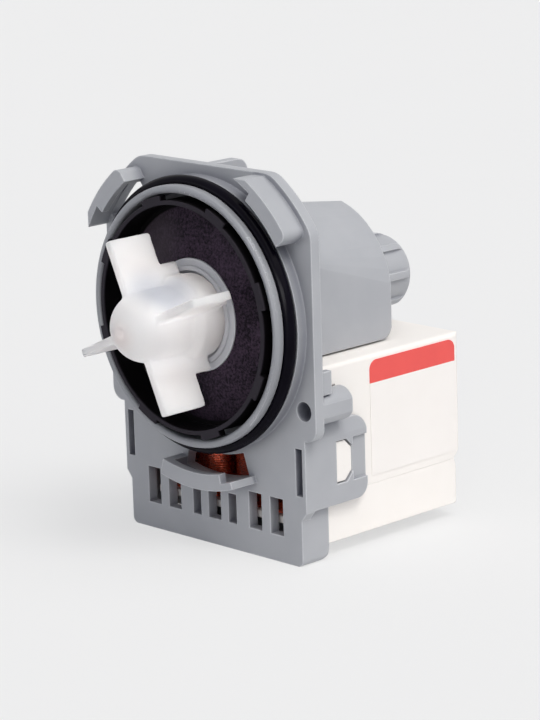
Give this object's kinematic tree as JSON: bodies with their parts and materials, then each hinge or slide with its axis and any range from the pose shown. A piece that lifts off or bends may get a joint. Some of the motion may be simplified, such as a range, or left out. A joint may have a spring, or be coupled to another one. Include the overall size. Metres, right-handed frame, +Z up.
{
  "type": "washer drain pump",
  "caption": "Washing machine drain pump: bayonet mounting flange with a sealing ring, open bladed impeller on a magnet rotor, and a wound stator in a white cover.",
  "frame": {"origin": "on the pump axis, in the front face of the mounting plate", "axes": "X is right seen from the impeller side, Y points back along the shaft towards the motor, Z is up with the foot below"},
  "size_m": [0.066, 0.0862, 0.0873],
  "materials": {
    "housing_plastic": "fine moulded texture",
    "black_plastic": "spark-eroded moulded texture",
    "rubber": "satin",
    "steel": "ground",
    "bronze": "sintered",
    "ferrite": "ground",
    "impeller_plastic": "natural, slightly translucent",
    "white_plastic": "satin",
    "laminations": "punched sheet edges",
    "copper": "enamelled wire",
    "terminal_brass": "tinned",
    "label_film": "smooth film",
    "label_red": "printed film"
  },
  "bodies": {
    "pump_body": {"pump_housing": "housing_plastic", "main_o_ring": "rubber", "chamber_cover": "black_plastic", "cover_seal": "rubber", "bearing_holder": "housing_plastic", "front_bearing_mount": "rubber", "front_bush": "bronze", "rear_bush": "bronze", "rear_bearing_mount": "rubber", "stator_core": "laminations", "core_rivets": "steel", "bobbin_right": "white_plastic", "bobbin_left": "white_plastic", "coil_right": "copper", "coil_left": "copper", "winding_right": "copper", "winding_left": "copper", "coil_cover": "white_plastic", "coil_base": "white_plastic", "terminal_right": "terminal_brass", "terminal_left": "terminal_brass", "thermal_fuse": "black_plastic", "label": "label_film", "label_band": "label_red"},
    "rotor": {"shaft": "steel", "rotor_carrier": "black_plastic", "rotor_magnet": "ferrite", "front_thrust_washer": "steel", "rear_thrust_washer": "steel", "drive_dog": "black_plastic"},
    "impeller": {"impeller": "impeller_plastic", "hub_cap": "impeller_plastic"}
  },
  "joints": [
    {"name": "rotor_spin", "type": "hinge", "parent": "pump_body", "child": "rotor", "pos_m": [0, 0, 0], "axis": [0, 1, 0], "continuous": true},
    {"name": "impeller_play", "type": "hinge", "parent": "rotor", "child": "impeller", "pos_m": [0, 0, 0], "axis": [0, 1, 0], "range_deg": [-120, 120]}
  ]
}
